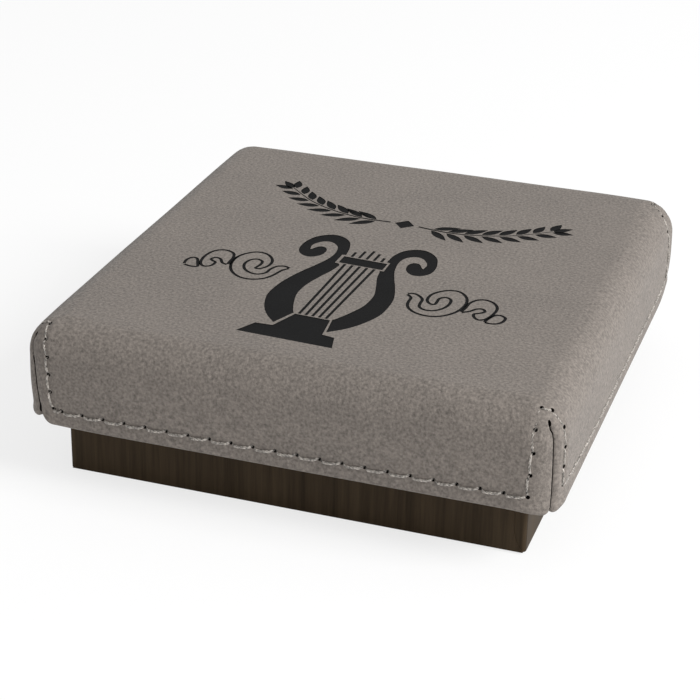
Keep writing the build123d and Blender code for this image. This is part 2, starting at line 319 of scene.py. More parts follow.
slit_halves = (0.13 * mm, 0.14 * mm, 0.14 * mm, 0.22 * mm)
QUARTER = math.pi / 4
# How far the cut edges roll in at a seam, and how far the leather beside them swells out: on
# the lid's sides, then on its front and back
EDGE_ROLLS = (0.62 * mm, 0.36 * mm)
PIPING_HEIGHTS = (0.15 * mm, 0.04 * mm)
PIPING_PLACE = 1.3 * mm
PIPING_WIDTH = 0.7 * mm
# The height or depth, and the width, of what the sewing and the folded hem press up or in
FURROW = (0.12 * mm, 0.45 * mm)
PUCKER = (0.09 * mm, 0.5 * mm)
HEM_ROLL = (0.20 * mm, 0.9 * mm)
BELLY = 0.20 * mm
PINCH_WIDTH = 7 * mm
RIPPLE = 0.05 * mm
RIPPLE_WAVES = (170, 140)
FLAP_WIDTH = 3.5 * mm
SEWING_REACH = 1.5 * mm
needle_spots = [[hole, (hole[0] + hole[1] * 0.01 * mm, 0)] for line in needle_lines for hole in line]


def seam_lean(corner, rise):
    """How far a seam stands off the middle of its corner, in radians, at a rise in metres."""
    rises, leans = zip(*seam_leans[corner])
    return math.radians(np.interp(rise / mm, rises, leans))


def smooth(value, low, high):
    """0 below low, 1 above high, and an even curve between."""
    share = np.clip((value - low) / (high - low), 0, 1)
    return share * share * (3 - 2 * share)


def mound(distance, height, width):
    """A height that falls away softly on both sides over a width."""
    return height * np.exp(-(distance / width) ** 2)


def wall_columns(step, seam_steps):
    """Columns round the lid: core point, side, turn from the middle of the next corner, that corner,
    and the distance along the straight wall to it."""
    columns = []
    ways = ((1, 0), (0, 1), (-1, 0), (0, -1))
    starts = ((-core_x, -core_y), (core_x, -core_y), (core_x, core_y), (-core_x, core_y))
    for side in range(4):
        length = 2 * (core_x if side % 2 == 0 else core_y)
        count = round(length / step)
        way, start = ways[side], starts[side]
        for index in range(count + 1):
            along = length * index / count
            ahead = along > length / 2
            columns.append((start[0] + way[0] * along, start[1] + way[1] * along,
                            -QUARTER if ahead else QUARTER,
                            side if ahead else (side - 1) % 4, min(along, length - along)))
        turns = [-value * mm / edge_radius for value in reversed(seam_steps)]
        turns += [value * mm / edge_radius for value in seam_steps[1:]]
        for turn in turns:
            columns.append((start[0] + way[0] * length, start[1] + way[1] * length, turn, side, 0.0))
    return np.array(columns)


def distance_to_lines(points, lines):
    """The distance from each point to the nearest line within SEWING_REACH; farther off, a metre."""
    best = np.full(len(points), 1.0)
    for line in lines:
        spots = np.array([place for place, _ in line])
        low, high = spots.min(0) - SEWING_REACH, spots.max(0) + SEWING_REACH
        near = np.all((points > low) & (points < high), axis=1)
        chosen = points[near]
        for one, two in zip(spots, spots[1:]):
            way = two - one
            share = np.clip((chosen - one) @ way / (way @ way), 0, 1)
            gaps = np.linalg.norm(chosen - one - share[:, None] * way, axis=1)
            best[near] = np.minimum(best[near], gaps)
    return best


def soft_form(points, distance, rise, on_side, pull):
    """How far the cover stands out or in, from the distance to the seam, the rise, and what is sewn."""
    below_eye = 1 - smooth(rise, (EYE_RISE - 0.3) * mm, (EYE_RISE + 0.6) * mm)
    roll_radius = np.where(on_side, *EDGE_ROLLS)
    inside = np.clip(roll_radius - distance, 0, roll_radius)
    rolled = -(roll_radius - np.sqrt(roll_radius ** 2 - inside ** 2)) * below_eye
    piping = mound(distance - PIPING_PLACE, np.where(on_side, *PIPING_HEIGHTS), PIPING_WIDTH) * below_eye
    furrow = -mound(distance_to_lines(points, needle_lines), *FURROW)
    pucker = -mound(distance_to_lines(points, needle_spots), *PUCKER)
    hem_roll = mound(rise - HEM_ROLL[1], *HEM_ROLL)
    belly = BELLY * np.sin(math.pi * np.clip(rise / (wall_height + 2 * mm), 0, 1))
    pinch = -mound(distance, pull, PINCH_WIDTH) * (1 - 0.55 * smooth(rise, 0, 8 * mm))
    ripple = RIPPLE * np.sin(points[:, 0] * RIPPLE_WAVES[0] + 1.0) * np.sin(points[:, 1] * RIPPLE_WAVES[1])
    ripple *= smooth(rise, 3 * mm, 6 * mm)
    return rolled + piping + furrow + pucker + hem_roll + belly + pinch + ripple


def join_rings(bm, rings):
    """The faces between each ring of points and the next."""
    faces = []
    for one, two in zip(rings, rings[1:]):
        for index in range(len(one)):
            after = (index + 1) % len(one)
            faces.append(bm.faces.new((one[index], one[after], two[after], two[index])))
    return faces


def smooth_mesh(bm, name):
    """The mesh that bm holds, turned outwards and shaded smooth."""
    bmesh.ops.recalc_face_normals(bm, faces=bm.faces)
    mesh = bpy.data.meshes.new(name)
    bm.to_mesh(mesh)
    bm.free()
    mesh.polygons.foreach_set("use_smooth", [True] * len(mesh.polygons))
    return mesh


def shell(name, columns, rows, outer_rows, soft, grid_top):
    """A closed lid-shaped skin. Its rows run from the top, over the edge, round the hem and up inside."""
    core, turn, corner, straight = columns[:, 0:2], columns[:, 2], columns[:, 3].astype(int), columns[:, 4]
    radii, pulls = np.array(flap_radii)[corner], np.array(hem_pulls)[corner]
    mesh_rows = []
    for index, (reach, height, out_share, up_share) in enumerate(rows):
        rise = height - lid_hem
        leans = np.array([seam_lean(each, rise) for each in range(4)])[corner] if soft else 0.0
        turned = turn + leans * (1 - np.abs(turn) / QUARTER)
        angle = turned - QUARTER + corner * math.pi / 2
        out = np.column_stack([np.cos(angle), np.sin(angle)])
        place = np.column_stack([core + out * reach, np.full(len(core), height)])
        if soft:
            distance = max(reach, 0.3 * mm) * np.abs(turned - leans) + straight
            on_side = (turned > leans) == (corner % 2 == 0)
            if index < outer_rows:
                push = soft_form(place, distance, rise, on_side, pulls)
                place += np.column_stack([out * (push * out_share)[:, None], push * up_share])
            bent = edge_radius * np.abs(turned - leans)
            gap = np.clip(radii - bent - straight, 0, radii)
            low = 1 - smooth(rise, 0.5 * mm, 5 * mm)
            drops = np.array(flap_drops)[corner, (turned > leans).astype(int)]
            hang = mound(bent + straight, drops, FLAP_WIDTH)
            place[:, 2] += (radii - np.sqrt(radii ** 2 - gap ** 2) - hang) * low
        mesh_rows.append(place)
    bm = bmesh.new()
    rings = [[bm.verts.new(point) for point in row] for row in mesh_rows]
    join_rings(bm, rings)
    bm.faces.new(rings[-1][::-1])
    if grid_top:
        straights = [i for i in range(len(core)) if abs(turn[i]) == QUARTER]
        across = [core[i, 0] for i in straights if core[i, 1] == -core_y and abs(core[i, 0]) < core_x]
        along = [core[i, 1] for i in straights if core[i, 0] == core_x and abs(core[i, 1]) < core_y]
        across = [-core_x] + across + [core_x]
        along = [-core_y] + along + [core_y]
        grid = [[bm.verts.new((x, y, rows[0][1])) for x in across] for y in along]
        for j in range(len(along) - 1):
            for i in range(len(across) - 1):
                bm.faces.new((grid[j][i], grid[j][i + 1], grid[j + 1][i + 1], grid[j + 1][i]))
    else:
        bm.faces.new(rings[0])
    bmesh.ops.remove_doubles(bm, verts=bm.verts, dist=0.002 * mm)
    bmesh.ops.dissolve_degenerate(bm, edges=bm.edges, dist=0.001 * mm)
    return placed(name, smooth_mesh(bm, name))


EDGE_ROWS = 26
cover_rows = [(0.0, lid_top, 0.0, 0.0)]
for index in range(1, EDGE_ROWS + 1):
    angle = math.pi / 2 * (1 - index / EDGE_ROWS)
    cover_rows.append((edge_radius * math.cos(angle), lid_top - edge_radius + edge_radius * math.sin(angle),
                       math.cos(angle), math.sin(angle)))
# Rows down the wall, set closer where the hem is sewn, then round the hem's fold
for rise in (*np.arange(12.1, 4.6, -0.5), *np.arange(4.4, fold_radius / mm + 0.05, -0.24)):
    cover_rows.append((edge_radius, lid_hem + rise * mm, 1.0, 0.0))
for index in range(5):
    angle = math.pi / 2 * index / 4
    cover_rows.append((edge_radius - fold_radius * (1 - math.cos(angle)),
                       lid_hem + fold_radius * (1 - math.sin(angle)), 1.0, 0.0))
cover_outer = len(cover_rows)
inner_reach = edge_radius - leather
return_reach = edge_radius - hem_return
for reach, rise in ((edge_radius - 2.2 * mm, 0), (return_reach + 0.3 * mm, 0), (return_reach, 0.3 * mm),
                    (return_reach, leather), (edge_radius - 2.5 * mm, leather), (inner_reach, leather)):
    cover_rows.append((reach, lid_hem + rise, 0.0, 0.0))
for rise in np.linspace(3.0 * mm, wall_height, 6):
    cover_rows.append((inner_reach, lid_hem + rise, 0.0, 0.0))
for index in range(1, 9):
    angle = math.pi / 2 * index / 8
    cover_rows.append((inner_reach * math.cos(angle), lid_hem + wall_height + inner_reach * math.sin(angle),
                       0.0, 0.0))
cover_rows[-1] = (0.0, lid_top - leather, 0.0, 0.0)
cover = shell("leatherette_cover", wall_columns(0.66 * mm, SEAM_STEPS), cover_rows, cover_outer,
              soft=True, grid_top=True)
for material in (leather_grey, leather_cut_painted_shade, leather_burnt):
    cover.data.materials.append(material)

# The needle holes lie where the sewn line meets the cover's own surface
skin = BVHTree.FromObject(cover, bpy.context.evaluated_depsgraph_get())
for line in needle_lines:
    for index, (place, facing) in enumerate(line):
        met = skin.ray_cast(place + facing * 2 * mm, -facing, 5 * mm)[0]
        line[index] = (met or place, facing)

# Cuts in the cover
# What is taken out of the leatherette: the slit and eye of each seam, a puncture at each
# stitch, and the burnt-in ornament on top. The walls of the slits, eyes and punctures are painted
# near-black, as painted shade inside each hole.
CUT_SHADE_SLOT = 1
BURNT_SLOT = 2
SLIT_RISES = (-1.0, 1.0, 2.7, 5.0, 8.0, 10.5, *np.arange(12.5, 15.7, 0.155))
# Half the width of a seam's eye, and half its height in millimetres
EYE_HALF_WIDTH = 0.30 * mm
EYE_HALF_HEIGHT = 0.55
HOLE_RADIUS = 0.40 * mm
SHARED_HOLE = 2.4 * HOLE_RADIUS
# A puncture's rings: each one's height off the cover in millimetres and share of the radius
HOLE_RINGS = ((-0.62, 0.55), (-0.02, 0.95), (0.5, 1.1))
cutters = bmesh.new()
punctures = bmesh.new()


def prism(rings, slot, solids=cutters):
    """A closed solid through rings of points of the same count, added to the cutters or the punctures."""
    rings = [[solids.verts.new(point) for point in ring] for ring in rings]
    faces = [solids.faces.new(rings[0][::-1]), solids.faces.new(rings[-1]), *join_rings(solids, rings)]
    for face in faces:
        face.material_index = slot


def round_turns(count):
    """Angles evenly round a circle."""
    return [math.tau * index / count for index in range(count)]


for corner, (sign_x, sign_y) in enumerate(((1, -1), (1, 1), (-1, 1), (-1, -1))):
    centre = Vector((sign_x * core_x, sign_y * core_y, lid_hem))

    def beside_seam(rise, offset, reach):
        """A place at a rise and a reach from the corner's middle, with an offset to one side of its seam."""
        angle = -QUARTER + corner * math.pi / 2 + seam_lean(corner, max(rise, 0.0))
        out = Vector((math.cos(angle), math.sin(angle), 0))
        return centre + out * reach + Vector((-out.y, out.x, 0)) * offset + Vector((0, 0, rise))

    half = slit_halves[corner]
    slit = ((-half, 0.2 * mm), (-half, edge_radius + mm), (half, edge_radius + mm), (half, 0.2 * mm))
    prism([[beside_seam(rise * mm, *spot) for spot in slit] for rise in SLIT_RISES], CUT_SHADE_SLOT)
    eye_ring = [(EYE_HALF_WIDTH * math.cos(turn), (EYE_RISE + EYE_HALF_HEIGHT * math.sin(turn)) * mm)
                for turn in round_turns(12)]
    prism([[beside_seam(rise, offset, reach) for offset, rise in eye_ring]
           for reach in (0.3 * mm, edge_radius + 1.2 * mm)], CUT_SHADE_SLOT, punctures)
pierced = []
for line in needle_lines:
    for index, (place, facing) in enumerate(line):
        # Two lines that meet share one hole
        if any((place - other).length < SHARED_HOLE for other in pierced):
            continue
        pierced.append(place)
        before = line[max(index - 1, 0)][0]
        after = line[min(index + 1, len(line) - 1)][0]
        along = (after - before).normalized()
        beside = facing.cross(along).normalized()
        lifted = place + beside * 0.10 * mm
        ring = [along * math.cos(turn) * HOLE_RADIUS + beside * math.sin(turn) * HOLE_RADIUS
                for turn in round_turns(8)]
        prism([[lifted + facing * height * mm + share * offset for offset in ring]
               for height, share in HOLE_RINGS], CUT_SHADE_SLOT, punctures)

# Ornament on the lid
# A traditional lyre between two pairs of outlined scrolls, under two laurel sprays, burnt a
# tenth of a millimetre into the leatherette. It stands a few degrees askew on the lid.
art_turn = Matrix.Rotation(math.radians(-3.8), 2)
art_centre = Vector((-1.4, -17.0))
BURN_DEPTH = 0.10 * mm
# Half the widths of a drawn line and of the lyre's strings, in millimetres
LINE_HALF = 0.29
STRING_HALF = 0.27


def curve_through(points, steps=6):
    """A smooth line through the points, each a tuple of any length."""
    points = [np.array(point, float) for point in points]
    ends = [2 * points[0] - points[1]] + points + [2 * points[-1] - points[-2]]
    line = []
    for index in range(1, len(ends) - 2):
        a, b, c, d = ends[index - 1:index + 3]
        for step in range(steps):
            t = step / steps
            line.append(0.5 * (2 * b + (c - a) * t + (2 * a - 5 * b + 4 * c - d) * t * t
                               + (3 * b - a - 3 * c + d) * t ** 3))
    line.append(points[-1])
    return [tuple(point) for point in line]


def burn(outline, mirrored=False):
    """Cuts a flat figure, given in millimetres about the ornament's centre, into the lid's top."""
    ring = [(-x if mirrored else x, y) for x, y in outline]
    area = sum(ring[i - 1][0] * ring[i][1] - ring[i][0] * ring[i - 1][1] for i in range(len(ring)))
    if area < 0:
        ring.reverse()
    places = [(art_centre + art_turn @ Vector(point)) * mm for point in ring]
    levels = (lid_top - BURN_DEPTH, lid_top + 0.5 * mm)
    prism([[(place.x, place.y, level) for place in places] for level in levels], BURNT_SLOT)


def leaned(points, aside, above):
    """The lyre's frame stands aside of its foot by one shift up to the crossbar and by another above it,
    and leans a little to the left."""
    return [(x + aside + (above - aside) * min(max(y - 13.0, 0.0) / 5.0, 1.0) - 0.05 * max(y, 0.0), y)
            for x, y in points]


def brush(points, mirrored=False, steps=6):
    """Burns a stroke through points of (x, y, half width)."""
    line = curve_through(points, steps)
    left, right = [], []
    for index, (x, y, half) in enumerate(line):
        one = line[max(index - 1, 0)]
        two = line[min(index + 1, len(line) - 1)]
        way = Vector((two[0] - one[0], two[1] - one[1])).normalized()
        left.append((x - way.y * half, y + way.x * half))
        right.append((x + way.y * half, y - way.x * half))
    burn(left + right[::-1], mirrored)


def draw(points):
    """Burns a thin line of even width through points."""
    brush([(x, y, LINE_HALF) for x, y in points], steps=4)


# The lyre's arms, each with its edge notched round the end of the crossbar
arm_outside = [(4.85, -17.8), (7.3, -15.2), (9.2, -12.0), (10.6, -7.7), (10.7, -3.4), (10.2, 0.3),
               (8.9, 4.6), (7.6, 8.0), (6.5, 11.5), (6.2, 14.5), (6.8, 17.3), (8.4, 18.9), (9.9, 18.8),
               (11.0, 17.6), (11.5, 16.1), (11.2, 14.3)]
arm_volute = [(11.0, 14.4), (10.1, 16.1), (8.9, 16.2), (8.1, 14.8), (8.3, 12.6), (9.8, 11.0), (11.6, 11.2),
              (13.0, 13.0), (13.4, 16.0), (12.9, 18.9), (11.8, 20.9), (9.8, 22.4), (7.6, 22.3), (5.6, 20.6),
              (4.5, 17.6), (4.05, 14.45)]
arm_notch = [(4.75, 14.3), (4.75, 10.35), (3.95, 10.25)]
arm_inside = [(3.95, 9.6), (4.4, 6.9), (5.5, 3.2), (6.4, -0.7), (6.4, -5.0), (5.3, -9.0), (4.1, -12.0),
              (3.65, -12.7)]
for sign, inward, aside, above in ((1, -0.2, 0.45, 0.0), (-1, 0.42, 0.3, 0.35)):
    inside = [(x - inward, y) for x, y in curve_through(arm_inside)]
    arm = curve_through(arm_outside) + curve_through(arm_volute) + arm_notch + inside
    burn(leaned([(sign * x, y) for x, y in arm], aside, above))
burn(leaned([(-4.3, 10.75), (4.3, 10.75), (4.3, 13.8), (-4.3, 13.8)], 0.45, 0.45))
burn([(-9.0, -23.3), (8.6, -23.1), (7.4, -19.2), (5.05, -18.9), (4.05, -13.1), (-2.5, -13.1), (-4.15, -18.9),
      (-7.3, -19.2)])
for string, end in ((-2.5, 16.4), (-1.25, 17.5), (0.0, 18.3), (1.25, 17.4), (2.5, 16.0)):
    foot, top, above = string + 0.6, 1.15 * string - 0.1, 1.17 * string - 0.25
    burn([(foot - STRING_HALF, -12.8), (foot + STRING_HALF, -12.8),
          (top + STRING_HALF, 10.5), (top - STRING_HALF, 10.5)])
    burn([(above - STRING_HALF, 14.1), (above + STRING_HALF, 14.1), (above + 0.2, end), (above - 0.34, end)])
# Three scrolls to the right of the lyre, large to small
draw([(12.1, 3.1), (13.2, 3.5), (14.4, 2.9), (15.4, 1.7), (15.6, 0.1), (16.0, -1.4), (17.3, -2.2),
      (19.0, -1.7), (20.1, 0.0), (20.4, 2.0), (20.0, 3.7), (18.9, 4.3), (18.0, 3.4), (18.1, 1.7),
      (18.0, 0.6), (17.1, 0.7), (16.2, 2.0), (16.1, 4.2), (16.9, 6.0), (18.4, 7.4), (20.2, 7.6),
      (21.9, 6.2), (22.9, 4.0), (23.0, 1.2), (22.3, -1.4), (20.7, -3.5), (18.5, -4.4), (16.0, -3.9),
      (14.2, -2.3), (13.5, -0.3), (13.3, 1.6), (12.2, 2.7)])
draw([(23.3, -0.3), (23.5, 1.5), (23.5, 3.6), (24.2, 5.4), (25.6, 6.2), (27.3, 5.6), (28.6, 3.8),
      (28.8, 1.4), (28.3, -1.2), (27.2, -2.2), (26.1, -1.4), (25.7, -0.2), (26.5, 0.5), (27.1, 1.5),
      (26.4, 2.3), (25.4, 1.9), (24.6, 0.5), (23.5, -0.5)])
draw([(28.4, -2.6), (28.6, -1.0), (29.2, 0.7), (30.2, 1.1), (31.2, 0.4), (31.3, -1.0), (30.7, -2.3),
      (29.5, -2.8), (28.5, -2.7)])
# Three to its left, drawn rounder
draw([(-11.4, 4.5), (-12.6, 4.9), (-13.8, 4.3), (-14.4, 2.6), (-14.5, 0.8), (-15.6, -0.4), (-17.2, -0.3),
      (-18.8, 0.9), (-19.7, 2.9), (-19.5, 4.9), (-18.4, 5.8), (-17.2, 5.2), (-16.9, 3.7), (-17.1, 2.0),
      (-16.2, 2.1), (-15.4, 3.7), (-15.5, 5.8), (-16.6, 7.7), (-18.4, 8.9), (-20.3, 8.6), (-21.8, 6.7),
      (-22.3, 4.3), (-21.8, 1.5), (-20.4, -1.1), (-18.2, -2.8), (-16.0, -3.0), (-14.0, -1.9), (-12.9, 0.1),
      (-12.3, 2.9), (-11.5, 4.2)])
draw([(-22.5, 1.2), (-23.6, 1.6), (-24.6, 3.0), (-25.7, 3.3), (-26.2, 2.3), (-25.5, 1.7), (-24.8, 1.2),
      (-24.9, -0.4), (-25.9, -1.2), (-27.0, -0.4), (-27.7, 1.6), (-27.8, 4.1), (-27.1, 6.3), (-25.4, 7.2),
      (-23.6, 6.4), (-22.8, 4.6), (-22.6, 2.6), (-22.4, 1.4)])
draw([(-29.8, -1.6), (-30.1, 0.2), (-29.6, 1.5), (-28.6, 1.4), (-27.6, -0.4), (-27.0, -1.8), (-28.2, -2.2),
      (-29.6, -1.9)])


def leaf(foot, way, length, half, mirrored, start=0.0):
    """Burns a pointed leaf that leaves its foot one way; half is half its greatest width."""
    brush([(foot.x + way.x * length * t, foot.y + way.y * length * t,
            half * math.sin(math.pi * t ** 0.85) + 0.02) for t in (start, 0.2, 0.4, 0.6, 0.8, 1.0)],
          mirrored, 3)


# Laurel sprays, tied at a small lozenge
for mirrored in (False, True):
    stem = curve_through([(2.9, 33.0), (9.0, 32.6), (15.5, 34.0), (21.5, 37.0), (27.0, 41.6)], 8)
    brush([(x, y, 0.26 - 0.005 * i) for i, (x, y) in enumerate(stem)][::4], mirrored, 4)
    for index in range(3, len(stem) - 1, 4):
        one, two = stem[index - 1], stem[min(index + 1, len(stem) - 1)]
        way = Vector((two[0] - one[0], two[1] - one[1])).normalized()
        for lean in (-1, 1):
            leaf_way = Matrix.Rotation(math.radians(34 * lean), 2) @ way
            leaf(Vector(stem[index]) + leaf_way * 0.75, leaf_way, 5.6 - 0.05 * index, 0.85, mirrored)
    tip = Vector(stem[-1])
    leaf(tip, (tip - Vector(stem[-2])).normalized(), 4.2, 0.8, mirrored, start=0.05)
burn([(0.0, 30.9), (2.0, 33.0), (0.0, 35.1), (-2.0, 33.0)])


def take_out(solids, name, crossing):
    """Cuts the solids out of the cover. crossing says that some of them cross one another."""
    bmesh.ops.recalc_face_normals(solids, faces=solids.faces)
    cutter_mesh = bpy.data.meshes.new(name)
    solids.to_mesh(cutter_mesh)
    solids.free()
    for material in cover.data.materials:
        cutter_mesh.materials.append(material)
    cutter_object = placed(name, cutter_mesh)
    cut = cover.modifiers.new(name, "BOOLEAN")
    cut.operation = "DIFFERENCE"
    cut.solver = "EXACT"
    cut.use_self = crossing
    cut.material_mode = "INDEX"
    cut.object = cutter_object
    cut_mesh = bpy.data.meshes.new_from_object(cover.evaluated_get(bpy.context.evaluated_depsgraph_get()))
    cover.modifiers.remove(cut)
    cover.data = cut_mesh
    bpy.data.objects.remove(cutter_object)


take_out(punctures, "cover_punctures", False)
take_out(cutters, "cover_cuts", True)
cover.data.set_sharp_from_angle(angle=math.radians(38))
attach(cover, "lid")
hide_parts("lid_leatherette")

# Stitches
# Grey three-ply thread, laid on the leatherette from one puncture to the next. Each stitch
# hangs a little to one side, because it leaves low in one hole and goes down high in the next.
# The thread's strong light and dark specks are painted highlights and painted shade on its twisted plies,
# laid over the thread's own grey.
thread_grey_painted_glints = finish_material("grey_thread_painted_glints", (0.365, 0.337, 0.305), (900.0, 0.9, 2300.0, 4.5),
                              (3000.0, 9000.0, 0.6), 0.5, 0.03 * mm, sheen=0.2)
PLY_RADIUS = 0.100 * mm
PLY_OFFSET = 0.150 * mm
PLY_TURN = 2.2 * mm
PLY_SIDES = 5
PLY_STEPS = 19
# A stitch ends short of its holes, hangs aside by a slant and a sag, and dives at both ends
STITCH_SHORT = 0.12 * mm
STITCH_SLANT = 0.13 * mm
STITCH_SAG = 0.27 * mm
STITCH_LIFT = 0.27 * mm
STITCH_DIVE = 0.75 * mm
# How loose and thick the thread lies: pulled tighter at the corners and along the sides
CORNER_FULLNESS = 0.82
FRONT_FULLNESS = 1.0
SIDE_FULLNESS = 0.72


def three_ply(length):
    """One stitch along X: three plies twisted round a line that hangs aside and dives at both ends."""
    bm = bmesh.new()
    for ply in range(3):
        rings = []
        for step in range(PLY_STEPS):
            share = 2 * step / (PLY_STEPS - 1) - 1
            x = share * (length / 2 - STITCH_SHORT)
            hang = STITCH_SLANT * share - STITCH_SAG * (1 - share ** 4)
            lift = STITCH_LIFT - STITCH_DIVE * share ** 6
            turn = math.tau * (x / PLY_TURN + ply / 3)
            centre = Vector((x, hang + PLY_OFFSET * math.cos(turn), lift + PLY_OFFSET * math.sin(turn)))
            rings.append([bm.verts.new(centre + PLY_RADIUS * Vector((0, math.cos(angle), math.sin(angle))))
                          for angle in round_turns(PLY_SIDES)])
        join_rings(bm, rings)
        bm.faces.new(rings[0])
        bm.faces.new(rings[-1][::-1])
    return smooth_mesh(bm, "one_stitch")


def stitch_tree():
    """Lays one stitch on each edge of a line of needle holes, whose points carry "facing" and whose edges
    carry "fullness": 1 for a loose stitch, less for one that is pulled tight and thin."""
    tree = bpy.data.node_groups.new("stitch_on_each_edge", "GeometryNodeTree")
    for name, kind in (("Holes", "NodeSocketGeometry"), ("Thread", "NodeSocketObject"),
                       ("Pitch", "NodeSocketFloat"), ("Material", "NodeSocketMaterial")):
        tree.interface.new_socket(name=name, in_out="INPUT", socket_type=kind)
    tree.interface.new_socket(name="Geometry", in_out="OUTPUT", socket_type="NodeSocketGeometry")

    def node(kind, fed, **settings):
        """A node with its settings, its inputs fed by the outputs given for them."""
        made = tree.nodes.new(kind)
        for setting, value in settings.items():
            setattr(made, setting, value)
        for socket, output in fed.items():
            tree.links.new(output, made.inputs[socket])
        return made

    def carried(name, kind):
        """A value that the line's points or edges carry."""
        made = node("GeometryNodeInputNamedAttribute", {}, data_type=kind)
        made.inputs["Name"].default_value = name
        return made.outputs["Attribute"]

    given = node("NodeGroupInput", {}).outputs
    ends = node("GeometryNodeInputMeshEdgeVertices", {}).outputs
    along = node("ShaderNodeVectorMath", {0: ends["Position 2"], 1: ends["Position 1"]},
                 operation="SUBTRACT").outputs["Vector"]
    kept = node("GeometryNodeStoreNamedAttribute", {"Geometry": given["Holes"], "Value": along},
                data_type="FLOAT_VECTOR", domain="EDGE")
    kept.inputs["Name"].default_value = "along"
    middles = node("GeometryNodeMeshToPoints", {"Mesh": kept.outputs["Geometry"]}, mode="EDGES")
    way = carried("along", "FLOAT_VECTOR")
    facing = carried("facing", "FLOAT_VECTOR")
    fullness = carried("fullness", "FLOAT")
    axes = node("FunctionNodeAxesToRotation", {0: way, 1: facing}, primary_axis="X", secondary_axis="Z")
    length = node("ShaderNodeVectorMath", {0: way}, operation="LENGTH")
    stretch = node("ShaderNodeMath", {0: length.outputs["Value"], 1: given["Pitch"]}, operation="DIVIDE")
    scale = node("ShaderNodeCombineXYZ", {0: stretch.outputs[0], 1: fullness, 2: fullness})
    thread = node("GeometryNodeObjectInfo", {"Object": given["Thread"]})
    laid = node("GeometryNodeInstanceOnPoints",
                {"Points": middles.outputs["Points"], "Instance": thread.outputs["Geometry"],
                 "Rotation": axes.outputs["Rotation"], "Scale": scale.outputs["Vector"]})
    real = node("GeometryNodeRealizeInstances", {"Geometry": laid.outputs["Instances"]})
    dressed = node("GeometryNodeSetMaterial",
                   {"Geometry": real.outputs["Geometry"], "Material": given["Material"]})
    node("NodeGroupOutput", {"Geometry": dressed.outputs["Geometry"]})
    return tree


one_stitch = placed("one_stitch", three_ply(STITCH_PITCH))
stitching = stitch_tree()
socket_ids = {item.name: item.identifier for item in stitching.interface.items_tree}


def sew(name, lines, node):
    """Lays thread from hole to hole along the lines, given with their fullness, as one piece for a node."""
    spots = [spot for line, _ in lines for spot in line]
    edges, fullness, first = [], [], 0
    for line, full in lines:
        edges += [(first + i, first + i + 1) for i in range(len(line) - 1)]
        fullness += [full] * (len(line) - 1)
        first += len(line)
    holes = bpy.data.meshes.new(name)
    holes.from_pydata([place for place, _ in spots], edges, [])
    facing = holes.attributes.new("facing", "FLOAT_VECTOR", "POINT")
    facing.data.foreach_set("vector", [value for _, way in spots for value in way])
    holes.attributes.new("fullness", "FLOAT", "EDGE").data.foreach_set("value", fullness)
    piece = placed(name, holes)
    modifier = piece.modifiers.new("stitches", "NODES")
    modifier.node_group = stitching
    modifier[socket_ids["Thread"]] = one_stitch
    modifier[socket_ids["Pitch"]] = STITCH_PITCH
    modifier[socket_ids["Material"]] = thread_grey_painted_glints
    laid = bpy.data.meshes.new_from_object(piece.evaluated_get(bpy.context.evaluated_depsgraph_get()))
    piece.modifiers.remove(modifier)
    piece.data = laid
    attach(piece, "lid")
    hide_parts(node)


sew("corner_thread", [(line, CORNER_FULLNESS) for line in needle_lines[:corner_lines]], "corner_stitches")
hem_lines = []
for line in needle_lines[corner_lines:]:
    across = abs(line[len(line) // 2][1].y) > 0.5
    hem_lines.append((line, FRONT_FULLNESS if across else SIDE_FULLNESS))
sew("hem_thread", hem_lines, "hem_stitches")
bpy.data.objects.remove(one_stitch)

# Lid underlay
# Thin grey felt between the boards and the leatherette. It rounds the lid's edges and shows
# only as a dark line in the corner seams.
underlay_felt = finish_material("underlay_felt", (0.10, 0.093, 0.085), (400.0, 0.3, 3000.0, 0.4),
                                (900.0, 4000.0, 0.5), 0.95, 0.1 * mm, specular=0.1)
FELT_GAP = 0.05 * mm
board_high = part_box("lid_top_board")[1]
board_reach = edge_radius - (lid_high[0] - board_high[0])
felt_reach = inner_reach - 0.04 * mm
felt_hem = lid_hem + leather + FELT_GAP
felt_rows = []
for index in range(7):
    angle = math.pi / 2 * index / 6
    felt_rows.append((felt_reach * math.sin(angle), lid_hem + wall_height + felt_reach * math.cos(angle),
                      1.0, 0.0))
for reach, height in ((felt_reach, felt_hem), (board_reach + FELT_GAP, felt_hem),
                      (board_reach + FELT_GAP, board_high[2] - 1.5 * mm),
                      (board_reach - 0.5 * mm, board_high[2] + FELT_GAP), (0.0, board_high[2] + FELT_GAP)):
    felt_rows.append((reach, height, 1.0, 0.0))
felt = shell("lid_underlay", wall_columns(6 * mm, (0.0, 1.2, 2.4, 3.6)), felt_rows, 0,
             soft=False, grid_top=False)
felt.data.materials.append(underlay_felt)
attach(felt, "lid")
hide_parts("lid_padding")

# Lid boards and tape
# Grey board, cut and butted, held at the corners by gummed brown tape.
grey_board = finish_material("grey_board", (0.40, 0.35, 0.28), (120.0, 0.25, 1800.0, 0.35),
                             (1200.0, 5000.0, 0.5), 0.9, 0.05 * mm, specular=0.2)
brown_tape = finish_material("gummed_tape", (0.45, 0.31, 0.17), (90.0, 0.15, 2500.0, 0.2),
                             (800.0, 6000.0, 0.5), 0.6, 0.02 * mm, specular=0.4)


def dress(material, *nodes):
    """Gives CAD nodes their finish."""
    for node in nodes:
        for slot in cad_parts[node].material_slots:
            slot.material = material


dress(grey_board, "lid_top_board", "lid_front_board", "lid_back_board", "lid_left_board", "lid_right_board")
dress(brown_tape, "lid_corner_tape")

# Lid lining
# Black paper with a faint tooth, a sheet on the ceiling and a band round the walls.
black_paper = finish_material("black_lining_paper", (0.030, 0.027, 0.024), (140.0, 0.25, 2800.0, 0.35),
                              (1400.0, 6000.0, 0.6), 0.72, 0.03 * mm, specular=0.35)
dress(black_paper, "lid_ceiling_lining", "lid_side_lining")

